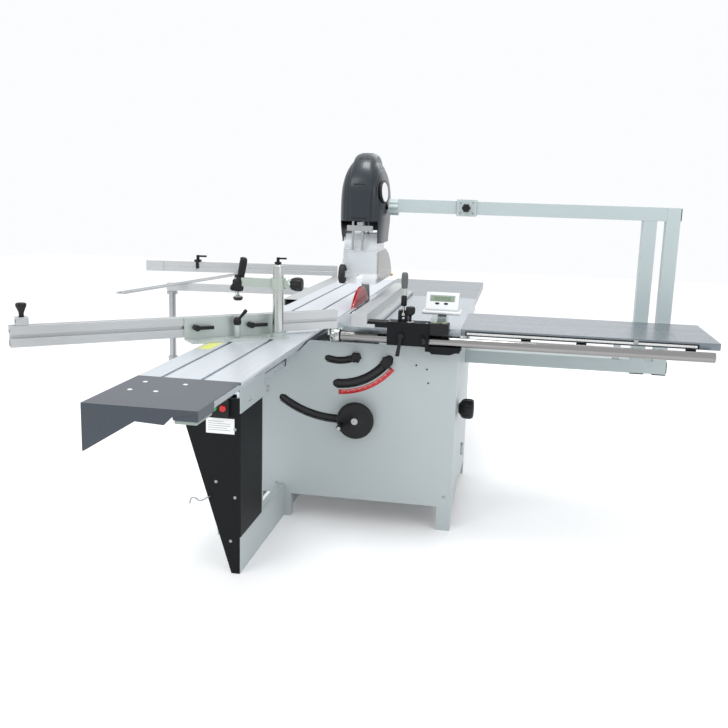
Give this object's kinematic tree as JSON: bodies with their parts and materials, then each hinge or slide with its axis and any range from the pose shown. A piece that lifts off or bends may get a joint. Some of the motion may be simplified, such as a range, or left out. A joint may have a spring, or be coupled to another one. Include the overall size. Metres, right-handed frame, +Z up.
{
  "type": "panel saw",
  "caption": "Sliding-table panel saw with tilting circular blade, overhead guard on a mast boom, rip fence, mitre fence and outrigger.",
  "frame": {"origin": "centre of the sole of the cabinet's front right leg, on the floor", "axes": "+Z up; +X to the operator's right; +Y away from the operator, along the saw cut and the sliding table's travel"},
  "size_m": [3.0941, 3.451, 1.593],
  "materials": {
    "cabinet_paint": "satin",
    "dark_paint": "satin",
    "cast_table": "ground",
    "sheet_steel": "brushed",
    "steel": "machined",
    "chrome": "polished",
    "extrusion": "anodised",
    "tray_paint": "satin",
    "black_plastic": "matte",
    "hood_plastic": "satin",
    "clear_plastic": "clear",
    "red_plastic": "gloss",
    "blade_steel": "ground",
    "rubber": "matte",
    "motor_paint": "satin",
    "readout_plastic": "satin",
    "green_button": "gloss",
    "red_button": "gloss",
    "frame_iron": "painted"
  },
  "bodies": {
    "base": {"cabinet_shell": "cabinet_paint", "base_support": "cabinet_paint", "support_cover": "dark_paint", "guide_bed": "extrusion", "switch_box": "black_plastic", "main_table": "cast_table", "table_insert": "extrusion", "outfeed_table": "sheet_steel", "extension_table": "sheet_steel", "rip_rail": "chrome", "rail_brackets": "dark_paint", "mast_frame": "cabinet_paint", "mast_boom": "cabinet_paint"},
    "start_button": {"start_button": "green_button"},
    "stop_button": {"stop_button": "red_button"},
    "boom_knob": {"boom_knob": "black_plastic"},
    "boom_slide": {"boom_slide_tube": "cabinet_paint"},
    "hood": {"hood_shell": "hood_plastic"},
    "guard": {"clear_guard": "clear_plastic"},
    "guard_roller": {"guard_roller": "rubber"},
    "tilt_unit": {"tilt_frame": "frame_iron"},
    "tilt_knob_upper": {"tilt_knob_upper": "black_plastic"},
    "tilt_knob_lower": {"tilt_knob_lower": "black_plastic"},
    "handwheel": {"handwheel": "black_plastic", "handwheel_shaft": "steel"},
    "crank_grip": {"crank_grip": "black_plastic"},
    "height_screw": {"height_screw": "steel"},
    "carriage": {"arbor_carriage": "frame_iron", "motor": "motor_paint", "drive_belt": "rubber", "riving_knife": "steel", "crown_guard": "red_plastic"},
    "arbor": {"arbor": "steel", "saw_blade": "blade_steel"},
    "motor_rotor": {"motor_pulley": "steel"},
    "sliding_table": {"table_extrusion": "extrusion", "end_tray": "tray_paint", "outrigger_frame": "extrusion", "outrigger_fence": "extrusion"},
    "bearing_cage": {"bearing_cage": "steel"},
    "fence_extension": {"fence_extension": "extrusion"},
    "flip_stop_left": {"flip_stop_left": "black_plastic"},
    "flip_stop_right": {"flip_stop_right": "black_plastic"},
    "swing_arm": {"swing_arm": "cabinet_paint"},
    "arm_extension": {"arm_extension": "steel"},
    "mitre_bracket": {"mitre_bracket": "extrusion", "fence_levers": "black_plastic"},
    "pivot_lever": {"pivot_lever": "black_plastic"},
    "mitre_fence": {"mitre_fence": "extrusion"},
    "fence_stop": {"fence_stop": "black_plastic"},
    "clamp_arm": {"clamp_arm": "steel"},
    "clamp_lever": {"clamp_lever": "black_plastic"},
    "rip_fence": {"rip_fence": "extrusion", "rip_head": "dark_paint", "readout_unit": "readout_plastic"},
    "rip_clamp_lever": {"rip_clamp_lever": "steel"},
    "fine_adjust_knob": {"fine_adjust_knob": "black_plastic"},
    "rail_lock_lever": {"rail_lock_lever": "black_plastic"},
    "side_door": {"side_door": "cabinet_paint"},
    "door_knob": {"door_knob": "black_plastic"}
  },
  "joints": [
    {"name": "start_press", "type": "slide", "parent": "base", "child": "start_button", "axis": [0, 1, 0], "range_m": [0, 0.004], "stiffness_N_per_m": 400},
    {"name": "stop_press", "type": "slide", "parent": "base", "child": "stop_button", "axis": [0, 1, 0], "range_m": [0, 0.004], "stiffness_N_per_m": 400},
    {"name": "boom_knob_turn", "type": "hinge", "parent": "base", "child": "boom_knob", "pos_m": [-0.002, 0.49, 1.3545], "axis": [0, 1, 0], "range_deg": [-180, 0]},
    {"name": "boom_slide", "type": "slide", "parent": "base", "child": "boom_slide", "axis": [1, 0, 0], "range_m": [-0.2, 0]},
    {"name": "hood_tilt", "type": "hinge", "parent": "boom_slide", "child": "hood", "pos_m": [-0.34, 0.54, 1.347], "axis": [1, 0, 0], "range_deg": [0, 10]},
    {"name": "guard_slide", "type": "slide", "parent": "hood", "child": "guard", "axis": [0, 0, 1], "range_m": [-0.03, 0.085]},
    {"name": "roller_spin", "type": "hinge", "parent": "guard", "child": "guard_roller", "pos_m": [-0.546, 0.37, 1.04], "axis": [1, 0, 0], "continuous": true},
    {"name": "blade_tilt", "type": "hinge", "parent": "base", "child": "tilt_unit", "pos_m": [-0.473, 0.4, 0.875], "axis": [0, 1, 0], "range_deg": [0, 45]},
    {"name": "tilt_knob_upper_turn", "type": "hinge", "parent": "tilt_unit", "child": "tilt_knob_upper", "pos_m": [-0.393, -0.04, 0.736], "axis": [0, 1, 0], "range_deg": [-90, 0]},
    {"name": "tilt_knob_lower_turn", "type": "hinge", "parent": "tilt_unit", "child": "tilt_knob_lower", "pos_m": [-0.263, -0.04, 0.722], "axis": [0, 1, 0], "range_deg": [-90, 0]},
    {"name": "handwheel_turn", "type": "hinge", "parent": "tilt_unit", "child": "handwheel", "pos_m": [-0.385, -0.06, 0.469], "axis": [0, 1, 0], "range_deg": [-4465, 1801]},
    {"name": "crank_grip_spin", "type": "hinge", "parent": "handwheel", "child": "crank_grip", "pos_m": [-0.44288, -0.11, 0.44678], "axis": [0, 1, 0], "continuous": true},
    {"name": "height_screw_turn", "type": "hinge", "parent": "tilt_unit", "child": "height_screw", "pos_m": [-0.385, 0.25, 0.6], "axis": [0, 0, 1], "range_deg": [-1801, 4465]},
    {"name": "blade_height", "type": "slide", "parent": "tilt_unit", "child": "carriage", "axis": [0, 0, 1], "range_m": [-0.062, 0.025]},
    {"name": "arbor_spin", "type": "hinge", "parent": "carriage", "child": "arbor", "pos_m": [-0.4, 0.453, 0.79], "axis": [1, 0, 0], "continuous": true},
    {"name": "motor_spin", "type": "hinge", "parent": "carriage", "child": "motor_rotor", "pos_m": [-0.3, 0.453, 0.575], "axis": [1, 0, 0], "continuous": true},
    {"name": "table_slide", "type": "slide", "parent": "base", "child": "sliding_table", "axis": [0, 1, 0], "range_m": [-0.7, 0.42]},
    {"name": "cage_slide", "type": "slide", "parent": "base", "child": "bearing_cage", "axis": [0, 1, 0], "range_m": [-0.351, 0.211]},
    {"name": "fence_extension_slide", "type": "slide", "parent": "sliding_table", "child": "fence_extension", "axis": [0.9841, 0.1779, 0], "range_m": [-0.2, 0]},
    {"name": "flip_stop_left_slide", "type": "slide", "parent": "sliding_table", "child": "flip_stop_left", "axis": [0.9841, 0.1779, 0], "range_m": [-0.12, 0.25]},
    {"name": "flip_stop_right_slide", "type": "slide", "parent": "sliding_table", "child": "flip_stop_right", "axis": [0.9841, 0.1779, 0], "range_m": [-0.2, 0.3]},
    {"name": "swing_arm_turn", "type": "hinge", "parent": "base", "child": "swing_arm", "pos_m": [-0.875, 0.25, 0.43], "axis": [0, 0, 1], "range_deg": [-18.2, 30.2]},
    {"name": "arm_extension_slide", "type": "slide", "parent": "swing_arm", "child": "arm_extension", "axis": [-0.6961, 0.718, 0], "range_m": [-0.386, 0.232]},
    {"name": "mitre_swing", "type": "hinge", "parent": "sliding_table", "child": "mitre_bracket", "pos_m": [-0.747, -0.54, 0.88], "axis": [0, 0, 1], "range_deg": [-85, 5]},
    {"name": "pivot_lever_turn", "type": "hinge", "parent": "mitre_bracket", "child": "pivot_lever", "pos_m": [-0.747, -0.54, 0.9], "axis": [0, 0, 1], "range_deg": [0, 60]},
    {"name": "mitre_fence_slide", "type": "slide", "parent": "mitre_bracket", "child": "mitre_fence", "axis": [0.766, 0.6428, 0], "range_m": [-0.3, 0]},
    {"name": "fence_stop_slide", "type": "slide", "parent": "mitre_fence", "child": "fence_stop", "axis": [0.766, 0.6428, 0], "range_m": [-0.02, 0.5]},
    {"name": "clamp_arm_slide", "type": "slide", "parent": "mitre_bracket", "child": "clamp_arm", "axis": [0, 0, 1], "range_m": [-0.05, 0.035]},
    {"name": "clamp_lever_turn", "type": "hinge", "parent": "clamp_arm", "child": "clamp_lever", "pos_m": [-0.75, -0.46644, 1.086], "axis": [0, 1, 0], "range_deg": [0, 55]},
    {"name": "rip_fence_slide", "type": "slide", "parent": "base", "child": "rip_fence", "axis": [1, 0, 0], "range_m": [-0.03, 1.05]},
    {"name": "rip_clamp_lever_turn", "type": "hinge", "parent": "rip_fence", "child": "rip_clamp_lever", "pos_m": [-0.197, -0.072, 0.93], "axis": [1, 0, 0], "range_deg": [0, 60]},
    {"name": "fine_adjust_turn", "type": "hinge", "parent": "rip_fence", "child": "fine_adjust_knob", "pos_m": [-0.165, -0.104, 0.93], "axis": [0, 0, 1], "continuous": true},
    {"name": "rail_lock_lever_turn", "type": "hinge", "parent": "rip_fence", "child": "rail_lock_lever", "pos_m": [-0.197, -0.13, 0.851], "axis": [0, 1, 0], "range_deg": [-45, 45]},
    {"name": "side_door_swing", "type": "hinge", "parent": "base", "child": "side_door", "pos_m": [0.036, 0.504, 0.45], "axis": [0, 0, 1], "range_deg": [0, 85]},
    {"name": "door_knob_turn", "type": "hinge", "parent": "side_door", "child": "door_knob", "pos_m": [0.05, 0.125, 0.506], "axis": [1, 0, 0], "range_deg": [0, 90]}
  ],
  "couplings": [
    {"joint": "height_screw_turn", "follows": "blade_height", "rad_per_m": -1256.6},
    {"joint": "handwheel_turn", "follows": "blade_height", "rad_per_m": 1256.6},
    {"joint": "motor_spin", "follows": "arbor_spin", "ratio": 0.88889},
    {"joint": "cage_slide", "follows": "table_slide", "ratio": 0.5},
    {"joint": "swing_arm_turn", "follows": "table_slide", "rad_per_m": -0.75},
    {"joint": "arm_extension_slide", "follows": "table_slide", "ratio": 0.55}
  ]
}
